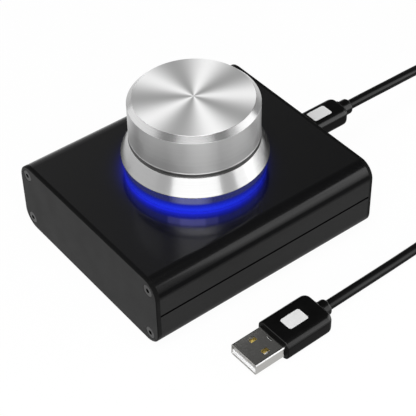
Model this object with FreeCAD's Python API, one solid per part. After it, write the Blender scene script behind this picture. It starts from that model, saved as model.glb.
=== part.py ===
import FreeCAD, Part
import math
import os

# USB volume control knob: a flat aluminium box with a turned knob on its deck.
# Millimetres. Origin on the surface it stands on, at the middle of the box.
# +X runs along the extrusion to the cable socket, +Z is up.

V = FreeCAD.Vector
X, Y, Z = V(1, 0, 0), V(0, 1, 0), V(0, 0, 1)

# ---------------------------------------------------------------- driving sizes
# Box
box_length = 91.2
box_width = 78.0
box_height = 27.4
corner_radius = 6.1
wall = 2.0
end_plate_thickness = 1.5
end_plate_edge_break = 0.3
seam_height = 13.8              # above the underside of the box
seam_groove_height = 0.8
seam_groove_depth = 0.7

# Feet
foot_height = 1.2
foot_radius = 5.0
foot_inset = 13.0               # foot centre from the box's sides and ends

# End plate screws, into channels that run through the shells
plate_screw_radius = 1.25
plate_screw_length = 8.0
plate_screw_head_radius = 2.1
plate_screw_head_height = 0.9
plate_screw_side_inset = 4.4    # screw axis from the side of the box
plate_screw_end_inset = 4.1     # screw axis from the top or the underside
screw_channel_radius = 2.6
screw_recess_across_flats = 1.56
screw_recess_depth = 0.5

# Main board, held between ledges of the two shells
board_thickness = 1.6
board_above_seam = 0.2          # underside of the board above the seam
board_side_gap = 0.4
ledge_width = 2.6
ledge_height = 1.6

# Chips on the main board, placed from the board's right end and middle line
chip_size = 7.0
chip_height = 1.2
chip_standoff = 0.1
chip_back = 21.5
chip_side = -12.0
chip_leg_width = 0.3
chip_leg_reach = 0.5
chip_leg_height = 0.5
chip_leg_pitch = 0.8
chip_leg_count = 8              # on each of two sides
crystal_length = 5.0
crystal_width = 3.2
crystal_height = 1.3
crystal_corner_radius = 1.0
crystal_back = 12.2
crystal_side = -8.5
capacitor_length = 1.6
capacitor_width = 0.9
capacitor_height = 0.8
capacitor_places = ((24.7, -3.0), (21.7, -2.5), (18.7, -2.5), (12.7, -14.0), (9.7, -14.0), (7.7, 8.0))

# Encoder
encoder_size = 12.0
encoder_housing_height = 6.2
encoder_floor = 0.6
encoder_frame_thickness = 0.8
encoder_lug_thickness = 0.5
encoder_lug_width = 6.0
encoder_wall = 0.5
bushing_wall = 0.45
rivet_step = 0.4                # bushing's spigot in the frame is this much slimmer
shaft_radius = 3.0
shaft_flat = 0.8                # depth of the flat on the shaft
shaft_collar_step = 0.4
shaft_collar_height = 0.9
press_travel = 0.5
dome_height = 0.6
dome_inset = 0.5                # dome's rim inside the plunger's
dome_sheet = 0.15
plunger_step = 0.3              # plunger's rim outside the shaft's
plunger_thickness = 0.8
plunger_gap = 0.2
rotor_gap = 0.4
rotor_lift = 0.4                # rotor above the plunger
rotor_thickness = 1.4
rotor_rim = 0.8
rotor_notch_radius = 0.3
rotor_notches = 20
detent_sheet = 0.2
spacer_wall = 1.8
terminal_width = 1.0
terminal_pitch = 2.5
terminal_inset = 1.0            # leg's axis from the encoder's side
terminal_length = 3.2           # below the board's upper face

# Nut and washer on the deck
nut_across_flats = 10.0
nut_height = 2.0
washer_radius = 6.0
washer_thickness = 0.5

# Skirt: fixed cone ring below the cap
skirt_step = 0.1                # top of the skirt outside the cap
skirt_flare = 2.75
skirt_height = 6.2
skirt_edge_height = 0.3
skirt_land = 2.0                # width of the flat land on top
skirt_web_thickness = 2.0
skirt_web_hole_gap = 3.6        # round the knob's insert
skirt_post_radius = 3.0
skirt_post_circle = 15.0
skirt_screw_radius = 1.25
skirt_screw_length = 7.0
skirt_screw_head_radius = 2.2
skirt_screw_head_height = 1.4

# Light ring below the skirt
light_ring_setback = 0.85       # behind the skirt's lower edge
light_ring_wall = 3.2
light_ring_height = 6.45

# LED board
led_pad_thickness = 0.4
led_board_thickness = 1.0
led_board_gap = 0.7             # inside the light ring
led_board_nut_gap = 2.5         # outside the washer
led_count = 12
led_setback = 0.2               # behind the board's rim
led_length = 3.0
led_width = 1.4
led_height = 1.6
led_wire_radius = 0.6
led_wire_pitch = 2.0
led_wire_place = 12.0           # wires, from the knob's axis
led_wire_foot_height = 1.0      # above the main board
led_connector_length = 6.0
led_connector_width = 5.0
led_connector_height = 5.0
wire_hole_radius = 2.4

# Knob
cap_radius = 22.1
cap_chamfer_width = 1.8
cap_chamfer_height = 1.8
cap_height = 14.6
cap_gap = 1.45                  # between the skirt's land and the cap's rim
cap_top_thickness = 3.0
cap_side_thickness = 2.4
cap_rim_break = 0.25
cap_boss_wall = 2.6
cap_boss_length = 8.8
insert_radius = 6.4
insert_length = 17.4
insert_neck_step = 1.0
insert_neck_length = 4.2
insert_shaft_depth = 12.4       # how far the shaft's tip is above the insert's foot
clip_thickness = 0.5
clip_width = 3.0
clip_gap = 1.6

# Socket in the right end plate, and the plug that sits in it
socket_width = 7.6
socket_thickness = 2.8
socket_sheet = 0.3
socket_corner = 0.9
socket_length = 6.0
socket_setback = 0.2            # mouth behind the plate's face
tongue_width = 3.8
tongue_thickness = 0.55
tongue_length = 4.4
tongue_block = 1.2

# Plugs
plug_shell_sheet = 0.3
grip_embed = 2.0                # how deep each shell sits in its grip
grip_corner_radius = 2.4
grip_neck_radius = 2.9
grip_front_gap = 0.3            # box plug's grip from the end plate
box_grip_side_cover = 1.5       # grip outside the socket's sides
box_grip_face_cover = 2.1
box_grip_length = 20.1
box_neck_length = 4.2
box_plug_gap = 0.1              # box plug's shell inside the socket
box_plug_reach = 5.0            # shell ahead of the grip
usb_shell_width = 12.0
usb_shell_thickness = 4.5
usb_shell_reach = 12.3
usb_shell_corner = 0.6
usb_grip_side_cover = 1.3       # grip outside the shell
usb_grip_face_cover = 1.7
usb_grip_length = 19.8
usb_neck_length = 3.6
usb_window_length = 2.4
usb_window_width = 2.0
usb_window_place = 6.3          # from the mouth
usb_window_offset = 3.15        # from the plug's axis
usb_insulator_thickness = 1.95
usb_insulator_setback = 0.3
usb_contact_setback = 1.5
usb_contact_offsets = (-3.9, -1.3, 1.3, 3.9)
usb_contact_width = 1.9
usb_contact_length = 8.0
usb_contact_sheet = 0.15
label_length = 8.0
label_width = 5.2
label_corner_radius = 0.8
label_depth = 0.3
label_proud = 0.05
box_label_place = 10.0          # label's middle from the grip's front
usb_label_place = 8.9
usb_plug_x = -16.5              # middle of the grip's front edge on the table
usb_plug_y = -60.9
usb_plug_turn = 1.2             # degrees about +Z

# Cable
cable_radius = 1.8
straight_exit = 8.5             # cable in line with its plug before it bends
tie_thickness = 0.5
tie_width = 7.0
coil_columns = 3
coil_layers = 4
coil_middle_radius = 18.0
coil_x = 165.0
coil_y = 10.0

# Clearances
running_gap = 0.05
thread_gap = 0.02
hole_gap = 0.15

# ---------------------------------------------------------------- derived places
underside = foot_height
deck = underside + box_height
seam = underside + seam_height
half_length = box_length / 2
half_width = box_width / 2
shell_end = half_length - end_plate_thickness
inner_side = half_width - wall
inner_deck = deck - wall
middle_height = underside + box_height / 2

board_bottom = seam + board_above_seam
board_top = board_bottom + board_thickness
board_end = shell_end - board_side_gap
led_wire_foot = board_top + led_wire_foot_height
terminal_top = board_top + encoder_floor

bushing_radius = shaft_radius + running_gap + bushing_wall
housing_top = board_top + encoder_housing_height
frame_top = housing_top + encoder_frame_thickness
nut_base = deck + washer_thickness
bushing_top = nut_base + nut_height
collar_radius = shaft_radius + shaft_collar_step
collar_top = housing_top - running_gap
plunger_radius = shaft_radius + plunger_step
dome_radius = plunger_radius - dome_inset
dome_base = board_top + encoder_floor
plunger_base = dome_base + dome_height + running_gap
plunger_top = plunger_base + plunger_thickness
shaft_foot = plunger_top + running_gap
chamber_radius = encoder_size / 2 - encoder_lug_thickness - encoder_wall
rotor_radius = chamber_radius - rotor_gap
rotor_base = plunger_top + rotor_lift
rotor_top = rotor_base + rotor_thickness
detent_base = housing_top - detent_sheet
rotor_rim_top = detent_base - running_gap

skirt_top_radius = cap_radius + skirt_step
skirt_bottom_radius = skirt_top_radius + skirt_flare
skirt_web_hole_radius = insert_radius + skirt_web_hole_gap
skirt_base = deck + light_ring_height
skirt_top = skirt_base + skirt_height
light_ring_outer_radius = skirt_bottom_radius - light_ring_setback
light_ring_inner_radius = light_ring_outer_radius - light_ring_wall
led_board_outer_radius = light_ring_inner_radius - led_board_gap
led_board_inner_radius = washer_radius + led_board_nut_gap
led_board_base = deck + led_pad_thickness
led_board_top = led_board_base + led_board_thickness

cap_face_radius = cap_radius - cap_chamfer_width
cap_boss_radius = insert_radius + cap_boss_wall
cap_base = skirt_top + cap_gap
cap_top = cap_base + cap_height
cap_ceiling = cap_top - cap_top_thickness
insert_foot = cap_ceiling - insert_length
insert_neck_radius = insert_radius - insert_neck_step
shaft_tip = insert_foot + insert_shaft_depth

socket_height = board_top + socket_thickness / 2
socket_mouth = half_length - socket_setback
socket_back = socket_mouth - socket_length
box_grip_width = socket_width + 2 * box_grip_side_cover
box_grip_thickness = socket_thickness + 2 * box_grip_face_cover
box_grip_front = half_length + grip_front_gap
box_neck_end = box_grip_front + box_grip_length + box_neck_length

usb_grip_width = usb_shell_width + 2 * usb_grip_side_cover
usb_grip_thickness = usb_shell_thickness + 2 * usb_grip_face_cover
usb_axis_height = usb_grip_thickness / 2
usb_plug_place = V(usb_plug_x, usb_plug_y, 0)
usb_insulator_top = usb_axis_height - usb_shell_thickness / 2 + plug_shell_sheet + usb_insulator_thickness

cable_diameter = 2 * cable_radius
coil_centre = V(coil_x, coil_y, 0)
coil_base = tie_thickness
coil_outer_radius = coil_middle_radius + coil_columns * cable_radius
coil_inner_radius = coil_middle_radius - coil_columns * cable_radius
coil_outer_turn = coil_outer_radius - cable_radius
coil_height = coil_layers * cable_diameter
top_turn_height = coil_base + coil_height - cable_radius
bottom_turn_height = coil_base + cable_radius


def on_usb_plug(x, height):
    """A point on the loose plug's axis, x ahead of its grip's front edge."""
    angle = math.radians(usb_plug_turn)
    return usb_plug_place.add(V(x * math.cos(angle), x * math.sin(angle), height))


# The cable's two free stretches. The first runs from the box plug down to the foot
# of the coil, the second from the top of the coil down to the loose plug.
usb_neck_end = usb_grip_length + usb_neck_length
box_side_route = [
    V(box_neck_end, 0, socket_height),
    V(box_neck_end + straight_exit, 0, socket_height),
    V(92.0, 0.7, 17.2),
    V(105.0, 2.1, 15.6),
    V(120.0, 4.3, 12.6),
    V(134.0, 12.5, 5.0),
    V(147.0, 29.5, cable_radius + 0.4),
    V(coil_centre.x, coil_centre.y + coil_outer_turn, bottom_turn_height),
]
usb_side_route = [
    V(coil_centre.x, coil_centre.y - coil_outer_turn, top_turn_height),
    V(147.0, -13.7, 12.0),
    V(133.0, -26.5, 5.0),
    V(118.0, -37.6, cable_radius + 0.2),
    V(98.0, -43.3, cable_radius),
    V(78.0, -52.4, cable_radius),
    V(58.0, -57.6, cable_radius),
    V(42.0, -58.25, cable_radius + 0.05),
    V(28.0, -59.1, cable_radius + 0.8),
    on_usb_plug(usb_neck_end + straight_exit, usb_axis_height),
    on_usb_plug(usb_neck_end, usb_axis_height),
]


# ---------------------------------------------------------------- shape helpers
def save(name, shape):
    """Write one sub-part."""
    shape.exportStep("parts/%s.step" % name)


def group(solids):
    """Several separate solids in one node."""
    return Part.makeCompound(solids)


def fuse(solids):
    """One solid out of solids that touch."""
    return solids[0].multiFuse(solids[1:]).removeSplitter()


def cut(solid, tools):
    """A solid with every tool taken away."""
    return solid.cut(Part.makeCompound(tools)) if tools else solid


def block(low, high):
    """Box between two corners."""
    size = high.sub(low)
    return Part.makeBox(size.x, size.y, size.z, low)


def upright(radius, bottom, top, x=0.0, y=0.0):
    """Vertical cylinder."""
    return Part.makeCylinder(radius, top - bottom, V(x, y, bottom), Z)


def tube(outer, inner, bottom, top):
    """Vertical tube on the knob's axis."""
    return upright(outer, bottom, top).cut(upright(inner, bottom, top))


def turned(profile):
    """Solid of revolution about the knob's axis, from (radius, height) points."""
    points = [V(radius, 0, height) for radius, height in profile]
    face = Part.Face(Part.makePolygon(points + points[:1]))
    return face.revolve(V(0, 0, 0), Z, 360)


def bar(start, end, width, bottom, top, radius, y=0.0):
    """Bar along X with a rounded rectangular section."""
    solid = block(V(start, y - width / 2, bottom), V(end, y + width / 2, top))
    edges = [edge for edge in solid.Edges if abs(edge.tangentAt(edge.FirstParameter).x) > 0.99]
    return solid.makeFillet(radius, edges)


def slab(start, end, width, bottom, top, radius, y=0.0):
    """Flat plate with rounded corners in plan."""
    solid = block(V(start, y - width / 2, bottom), V(end, y + width / 2, top))
    edges = [edge for edge in solid.Edges if abs(edge.tangentAt(edge.FirstParameter).z) > 0.99]
    return solid.makeFillet(radius, edges)


def around_knob(radius, count, start_angle=0.0):
    """Places spaced evenly on a circle about the knob's axis."""
    angles = [math.radians(start_angle + 360.0 * index / count) for index in range(count)]
    return [(radius * math.cos(angle), radius * math.sin(angle)) for angle in angles]


def d_section(radius, flat, bottom, top):
    """Round bar on the knob's axis with a flat along its +Y side."""
    rod = upright(radius, bottom, top)
    return rod.cut(block(V(-radius, radius - flat, bottom), V(radius, radius, top)))


def hex_prism(across_flats, bottom, top):
    """Hexagonal prism on the knob's axis."""
    corner = across_flats / math.sqrt(3)
    points = [V(x, y, bottom) for x, y in around_knob(corner, 6)]
    return Part.Face(Part.makePolygon(points + points[:1])).extrude(V(0, 0, top - bottom))


def routed_tube(points, radius, name):
    """Round tube along straight runs joined by tangent arcs."""
    edges = []
    here = points[0]
    for index in range(1, len(points) - 1):
        corner = points[index]
        back = points[index - 1].sub(corner)
        ahead = points[index + 1].sub(corner)
        shorter = min(back.Length, ahead.Length)
        turn = math.pi - back.getAngle(ahead)
        setback = 0.45 * shorter
        bend_radius = setback / math.tan(turn / 2)
        print("%s bend %d: radius %.1f" % (name, index, bend_radius))
        back.normalize()
        ahead.normalize()
        start = corner.add(back * setback)
        end = corner.add(ahead * setback)
        inward = back.add(ahead)
        inward.normalize()
        centre_distance = bend_radius / math.cos(turn / 2)
        middle = corner.add(inward * (centre_distance - bend_radius))
        edges.append(Part.LineSegment(here, start).toShape())
        edges.append(Part.Arc(start, middle, end).toShape())
        here = end
    edges.append(Part.LineSegment(here, points[-1]).toShape())
    path = Part.Wire(edges)
    direction = points[1].sub(points[0])
    circle = Part.Wire(Part.makeCircle(radius, points[0], direction))
    solid = path.makePipeShell([circle], True, False)
    expected = math.pi * radius ** 2 * path.Length
    print("%s: length %.1f, volume over section times length %.4f"
          % (name, path.Length, solid.Volume / expected))
    return solid


# ---------------------------------------------------------------- box
def plate_screw_places():
    """The four screw axes in an end plate."""
    y = half_width - plate_screw_side_inset
    z = box_height / 2 - plate_screw_end_inset
    return [(sy * y, middle_height + sz * z) for sz in (1, -1) for sy in (1, -1)]


def box_tube():
    """The extrusion's walls before it is split at the seam."""
    outer = bar(-shell_end, shell_end, box_width, underside, deck, corner_radius)
    inner = bar(-shell_end, shell_end, box_width - 2 * wall, underside + wall, inner_deck,
                corner_radius - wall)
    return outer.cut(inner)


def screw_channels(upper):
    """Two screw channels, solid rods and the holes in them."""
    rods, holes = [], []
    for y, z in plate_screw_places():
        if (z > middle_height) != upper:
            continue
        foot = V(-shell_end, y, z)
        rods.append(Part.makeCylinder(screw_channel_radius, 2 * shell_end, foot, X))
        holes.append(Part.makeCylinder(plate_screw_radius + thread_gap, 2 * shell_end, foot, X))
    return rods, holes


def ledges(bottom, top):
    """A pair of ledges along the inner side walls."""
    return [block(V(-shell_end, sy * inner_side - (ledge_width if sy > 0 else 0), bottom),
                  V(shell_end, sy * inner_side + (0 if sy > 0 else ledge_width), top))
            for sy in (1, -1)]


def skirt_post_places():
    return around_knob(skirt_post_circle, 3, 90.0)


def top_shell():
    """Deck and upper halves of the sides, with its holes."""
    upper = block(V(-half_length, -half_width, seam), V(half_length, half_width, deck))
    rods, holes = screw_channels(True)
    shell = fuse([box_tube().common(upper)] + rods + ledges(board_top, board_top + ledge_height))
    shell = shell.common(bar(-shell_end, shell_end, box_width, underside, deck, corner_radius))
    grooves = [block(V(-shell_end, sy * half_width - (seam_groove_depth if sy > 0 else 0), seam),
                     V(shell_end, sy * half_width + (0 if sy > 0 else seam_groove_depth),
                       seam + seam_groove_height)) for sy in (1, -1)]
    bores = [upright(bushing_radius + hole_gap, inner_deck, deck),
             upright(wire_hole_radius, inner_deck, deck, -led_wire_place)]
    bores += [upright(skirt_screw_radius + hole_gap, inner_deck, deck, x, y)
              for x, y in skirt_post_places()]
    return cut(shell, holes + grooves + bores)


def bottom_shell():
    """Floor and lower halves of the sides."""
    lower = block(V(-half_length, -half_width, underside), V(half_length, half_width, seam))
    rods, holes = screw_channels(False)
    rests = ledges(board_bottom - ledge_height, board_bottom)
    shell = fuse([box_tube().common(lower)] + rods + rests)
    shell = shell.common(bar(-shell_end, shell_end, box_width, underside, deck, corner_radius))
    return cut(shell, holes)


def end_plate(side):
    """Flat end plate with four countersunk holes; the right one has the socket's opening."""
    inner = side * shell_end
    outer = side * half_length
    plate = bar(min(inner, outer), max(inner, outer), box_width, underside, deck, corner_radius)
    rim = [edge for edge in plate.Edges
           if abs(edge.BoundBox.XMin - outer) < 1e-6 and abs(edge.BoundBox.XMax - outer) < 1e-6]
    plate = plate.makeChamfer(end_plate_edge_break, rim)
    holes = []
    for y, z in plate_screw_places():
        hole_radius = plate_screw_radius + hole_gap
        holes.append(Part.makeCylinder(hole_radius, end_plate_thickness, V(min(inner, outer), y, z), X))
        holes.append(Part.makeCone(plate_screw_head_radius + hole_gap, hole_radius,
                                   plate_screw_head_height + hole_gap, V(outer, y, z), X * -side))
    if side > 0:
        holes.append(socket_bar(inner, outer, -hole_gap))
    return cut(plate, holes)


def plate_screws(side):
    """Four countersunk screws with a hexagonal recess."""
    head_face = side * (half_length - running_gap)
    inward = X * -side
    screws = []
    for y, z in plate_screw_places():
        place = V(head_face, y, z)
        head = Part.makeCone(plate_screw_head_radius, plate_screw_radius, plate_screw_head_height,
                             place, inward)
        shank = Part.makeCylinder(plate_screw_radius, plate_screw_length, place, inward)
        recess = hex_prism(screw_recess_across_flats, 0, screw_recess_depth)
        recess.rotate(V(0, 0, 0), Y, -90 * side)
        recess.translate(place)
        screws.append(head.fuse(shank).removeSplitter().cut(recess))
    return group(screws)


def feet():
    """Four round rubber pads."""
    x, y = half_length - foot_inset, half_width - foot_inset
    return group([upright(foot_radius, 0, foot_height, sx * x, sy * y) for sx in (1, -1) for sy in (1, -1)])


# ---------------------------------------------------------------- main board
def terminal_places():
    """Encoder legs: three on one side, two on the other."""
    side = encoder_size / 2 - terminal_inset
    signals = [(offset * terminal_pitch, -side) for offset in (-1, 0, 1)]
    switch = [(offset * terminal_pitch, side) for offset in (-1, 1)]
    return signals + switch


def main_board():
    """Board from the left end plate to the socket, with holes for the encoder's legs."""
    half = inner_side - board_side_gap
    board = block(V(-board_end, -half, board_bottom), V(board_end, half, board_top))
    holes = [upright(terminal_width / 2 + hole_gap, board_bottom, board_top, x, y)
             for x, y in terminal_places()]
    return cut(board, holes)


def chip():
    """Controller with legs on two sides."""
    left = board_end - chip_back
    body = block(V(left, chip_side, board_top + chip_standoff),
                 V(left + chip_size, chip_side + chip_size, board_top + chip_height))
    leg_row = (chip_leg_count - 1) * chip_leg_pitch + chip_leg_width
    first_leg = left + (chip_size - leg_row) / 2
    leg = V(chip_leg_width, chip_leg_reach, chip_leg_height)
    legs = []
    for index in range(chip_leg_count):
        for y in (chip_side - chip_leg_reach, chip_side + chip_size):
            corner = V(first_leg + index * chip_leg_pitch, y, board_top)
            legs.append(block(corner, corner + leg))
    return fuse([body] + legs)


def small_parts():
    """Crystal can and ceramic capacitors."""
    start = board_end - crystal_back
    crystal = slab(start, start + crystal_length, crystal_width, board_top, board_top + crystal_height,
                   crystal_corner_radius, y=crystal_side)
    size = V(capacitor_length, capacitor_width, capacitor_height)
    capacitors = []
    for back, side in capacitor_places:
        corner = V(board_end - back, side, board_top)
        capacitors.append(block(corner, corner + size))
    return group([crystal] + capacitors)


def led_wire_places():
    return [(-led_wire_place, side * led_wire_pitch / 2) for side in (1, -1)]


def led_connector():
    """Two-way connector below the wire hole in the deck."""
    middle = V(-led_wire_place, 0, board_top)
    body = block(middle - V(led_connector_length / 2, led_connector_width / 2, 0),
                 middle + V(led_connector_length / 2, led_connector_width / 2, led_connector_height))
    return cut(body, [upright(led_wire_radius, led_wire_foot, board_top + led_connector_height, x, y)
                      for x, y in led_wire_places()])


def led_wires():
    """Two wires from the connector up to the LED board."""
    return group([upright(led_wire_radius, led_wire_foot, led_board_base, x, y)
                  for x, y in led_wire_places()])


def socket_bar(start, end, inset):
    """Bar with the socket's section, inset all round."""
    half = socket_thickness / 2 - inset
    return bar(start, end, socket_width - 2 * inset, socket_height - half, socket_height + half,
               socket_corner - inset)


def socket_shell():
    """Sheet tube of the socket, open towards +X."""
    return socket_bar(socket_back, socket_mouth, 0).cut(socket_bar(socket_back, socket_mouth, socket_sheet))


def socket_tongue():
    """Contact tongue on a block that closes the socket's back."""
    rear = socket_bar(socket_back, socket_back + tongue_block, socket_sheet)
    tongue = block(V(socket_back, -tongue_width / 2, socket_height - tongue_thickness / 2),
                   V(socket_back + tongue_length, tongue_width / 2, socket_height + tongue_thickness / 2))
    return fuse([rear, tongue])


# ---------------------------------------------------------------- encoder
def encoder_housing():
    """Moulded body with the rotor's chamber above the switch's chamber."""
    half_x = encoder_size / 2 - encoder_lug_thickness
    half_y = encoder_size / 2 - hole_gap
    body = block(V(-half_x, -half_y, board_top), V(half_x, half_y, housing_top))
    switch = upright(plunger_radius + plunger_gap, dome_base, rotor_base - running_gap)
    chamber = upright(chamber_radius, rotor_base - running_gap, housing_top)
    slots = [upright(terminal_width / 2, board_top, terminal_top, x, y) for x, y in terminal_places()]
    return cut(body, [switch, chamber] + slots)


def encoder_frame():
    """Steel plate over the housing, folded down at both sides."""
    half = encoder_size / 2
    plate = block(V(-half, -half, housing_top), V(half, half, frame_top))
    lugs = []
    for start in (-half, half - encoder_lug_thickness):
        lugs.append(block(V(start, -encoder_lug_width / 2, board_top),
                          V(start + encoder_lug_thickness, encoder_lug_width / 2, housing_top)))
    return cut(fuse([plate] + lugs), [upright(bushing_radius - rivet_step, housing_top, frame_top)])


def bushing():
    """Threaded sleeve riveted into the frame."""
    outer = fuse([upright(bushing_radius, frame_top, bushing_top),
                  upright(bushing_radius - rivet_step, housing_top, frame_top)])
    return outer.cut(upright(shaft_radius + running_gap, housing_top, bushing_top))


def bushing_spacer():
    """Ring between the encoder's frame and the underside of the deck."""
    inner = bushing_radius + hole_gap
    return tube(inner + spacer_wall, inner, frame_top, inner_deck)


def shaft():
    """D shaft with the collar that holds it in the bushing."""
    stem_top = rotor_top + press_travel + running_gap
    stem = d_section(shaft_radius, shaft_flat, shaft_foot, stem_top)
    middle = upright(shaft_radius, stem_top, bushing_top)
    top = d_section(shaft_radius, shaft_flat, bushing_top, shaft_tip)
    collar = upright(collar_radius, collar_top - shaft_collar_height, collar_top)
    return fuse([stem, middle, top, collar])


def rotor():
    """Contact wheel driven by the shaft's flat, with a notched rim."""
    wheel = fuse([upright(rotor_radius, rotor_base, rotor_top),
                  tube(rotor_radius, rotor_radius - rotor_rim, rotor_base, rotor_rim_top)])
    bore = d_section(shaft_radius + running_gap, shaft_flat, rotor_base, rotor_top)
    notches = [upright(rotor_notch_radius, rotor_top, rotor_rim_top, x, y)
               for x, y in around_knob(rotor_radius, rotor_notches)]
    return cut(wheel, [bore] + notches)


def detent_spring():
    """Flat ring spring below the frame, over the rotor's rim."""
    return tube(rotor_radius, rotor_radius - rotor_rim, detent_base, housing_top)


def plunger():
    """Disc that carries the shaft's thrust to the snap dome."""
    return upright(plunger_radius, plunger_base, plunger_top)


def dome():
    """Snap dome on the switch's floor."""
    outer = (dome_radius ** 2 + dome_height ** 2) / (2 * dome_height)
    centre = V(0, 0, dome_base + dome_height - outer)
    shell = Part.makeSphere(outer, centre).cut(Part.makeSphere(outer - dome_sheet, centre))
    return shell.common(upright(dome_radius, dome_base, dome_base + dome_height))


def terminals():
    """Five legs through the board."""
    return group([upright(terminal_width / 2, board_top - terminal_length, terminal_top, x, y)
                  for x, y in terminal_places()])


def washer():
    """Flat washer on the deck."""
    return tube(washer_radius, bushing_radius + hole_gap, deck, deck + washer_thickness)


def nut():
    """Hexagonal nut on the bushing."""
    body = hex_prism(nut_across_flats, nut_base, nut_base + nut_height)
    return body.cut(upright(bushing_radius + thread_gap, nut_base, nut_base + nut_height))


# ---------------------------------------------------------------- light and skirt
def led_pad():
    """Adhesive ring below the LED board."""
    ring = tube(led_board_outer_radius, led_board_inner_radius, deck, led_board_base)
    posts = [upright(skirt_post_radius + hole_gap, deck, led_board_base, x, y)
             for x, y in skirt_post_places()]
    return cut(ring, posts + [upright(wire_hole_radius, deck, led_board_base, -led_wire_place)])


def led_board():
    """Ring board, clear of the skirt's posts."""
    ring = tube(led_board_outer_radius, led_board_inner_radius, led_board_base, led_board_top)
    return cut(ring, [upright(skirt_post_radius + hole_gap, led_board_base, led_board_top, x, y)
                      for x, y in skirt_post_places()])


def leds():
    """LEDs at the board's rim that shine outwards."""
    outer = led_board_outer_radius - led_setback
    face = math.sqrt(outer ** 2 - (led_length / 2) ** 2)
    solids = []
    for index in range(led_count):
        led = block(V(outer - led_width, -led_length / 2, led_board_top),
                    V(face, led_length / 2, led_board_top + led_height))
        led.rotate(V(0, 0, 0), Z, (index + 0.5) * 360.0 / led_count)
        solids.append(led)
    return group(solids)


def light_ring():
    """Clear ring that carries the light down to the deck."""
    return tube(light_ring_outer_radius, light_ring_inner_radius, deck, skirt_base)


def skirt():
    """Cone ring with a web and three threaded posts that stand on the deck."""
    land_inner = skirt_top_radius - skirt_land
    web_top = skirt_base + skirt_web_thickness
    ring = turned([(skirt_web_hole_radius, skirt_base), (skirt_bottom_radius, skirt_base),
                   (skirt_bottom_radius, skirt_base + skirt_edge_height), (skirt_top_radius, skirt_top),
                   (land_inner, skirt_top), (land_inner, web_top), (skirt_web_hole_radius, web_top)])
    posts = [upright(skirt_post_radius, deck, skirt_base, x, y) for x, y in skirt_post_places()]
    depth = skirt_screw_length - wall
    holes = [upright(skirt_screw_radius + thread_gap, deck, deck + depth + hole_gap, x, y)
             for x, y in skirt_post_places()]
    return cut(fuse([ring] + posts), holes)


def skirt_screws():
    """Pan head screws from below the deck."""
    screws = []
    for x, y in skirt_post_places():
        head = upright(skirt_screw_head_radius, inner_deck - skirt_screw_head_height, inner_deck, x, y)
        shank = upright(skirt_screw_radius, inner_deck, inner_deck + skirt_screw_length, x, y)
        screws.append(head.fuse(shank).removeSplitter())
    return group(screws)


# ---------------------------------------------------------------- knob
def knob_cap():
    """Turned cup with a chamfered top and a boss for the insert."""
    bore = cap_radius - cap_side_thickness
    boss_foot = cap_ceiling - cap_boss_length
    shoulder = cap_top - cap_chamfer_height
    return turned([(0, cap_ceiling), (0, cap_top), (cap_face_radius, cap_top), (cap_radius, shoulder),
                   (cap_radius, cap_base + cap_rim_break), (cap_radius - cap_rim_break, cap_base),
                   (bore, cap_base), (bore, cap_ceiling), (cap_boss_radius, cap_ceiling),
                   (cap_boss_radius, boss_foot), (insert_radius, boss_foot), (insert_radius, cap_ceiling)])


def knob_insert():
    """Plastic hub in the cap's boss, with a D bore for the shaft."""
    neck_top = insert_foot + insert_neck_length
    body = fuse([upright(insert_radius, neck_top, cap_ceiling),
                 upright(insert_neck_radius, insert_foot, neck_top)])
    return body.cut(d_section(shaft_radius + thread_gap, shaft_flat, insert_foot, shaft_tip + hole_gap))


def clip_ring():
    """Split steel ring that grips the hub's neck."""
    bottom = insert_foot + (insert_neck_length - clip_width) / 2
    ring = tube(insert_neck_radius + clip_thickness, insert_neck_radius, bottom, bottom + clip_width)
    gap = block(V(0, -clip_gap / 2, bottom), V(2 * insert_neck_radius, clip_gap / 2, bottom + clip_width))
    return ring.cut(gap)


# ---------------------------------------------------------------- plugs
def grip(length, width, thickness, neck_length):
    """Moulded grip from x = 0 along X, standing on z = 0, with a round neck at its end."""
    body = bar(0, length, width, 0, thickness, grip_corner_radius)
    rounded = slab(0, length, width, 0, thickness, grip_corner_radius)
    square_front = block(V(0, -width / 2, 0), V(length / 2, width / 2, thickness))
    body = body.common(rounded.fuse(square_front))
    neck = Part.makeCylinder(grip_neck_radius, length / 2 + neck_length,
                             V(length / 2, 0, thickness / 2), X)
    return body.fuse(neck).removeSplitter()


def label(place, thickness):
    """Thin patch set into the top of a grip that stands on z = 0."""
    return slab(place - label_length / 2, place + label_length / 2, label_width,
                thickness - label_depth, thickness + label_proud, label_corner_radius)


def on_box(shape):
    """A box plug piece moved from its own place to the socket."""
    return shape.translated(V(box_grip_front, 0, socket_height - box_grip_thickness / 2))


def on_table(shape):
    """A loose plug piece turned and moved to where it lies."""
    return shape.rotated(V(0, 0, 0), Z, usb_plug_turn).translated(usb_plug_place)


def box_plug_bar(start, end, inset):
    """Bar with the box plug's section, inset all round."""
    return socket_bar(start, end, socket_sheet + box_plug_gap + inset)


def box_plug_shell():
    """Sheet tube inside the socket, open at its tip."""
    tip = box_grip_front - box_plug_reach
    back = box_grip_front + grip_embed
    return box_plug_bar(tip, back, 0).cut(box_plug_bar(tip, back - plug_shell_sheet, plug_shell_sheet))


def box_plug_label():
    """Bare patch on the box plug's grip."""
    return on_box(label(box_label_place, box_grip_thickness))


def box_plug_grip():
    """Grip of the plug in the socket."""
    body = on_box(grip(box_grip_length, box_grip_width, box_grip_thickness, box_neck_length))
    return cut(body, [box_plug_bar(box_grip_front, box_grip_front + grip_embed, 0), box_plug_label()])


def usb_bar(start, end, inset):
    """Bar with the loose plug's section, inset all round, from its grip's front edge."""
    half = usb_shell_thickness / 2 - inset
    return bar(start, end, usb_shell_width - 2 * inset, usb_axis_height - half, usb_axis_height + half,
               usb_shell_corner - inset)


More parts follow.
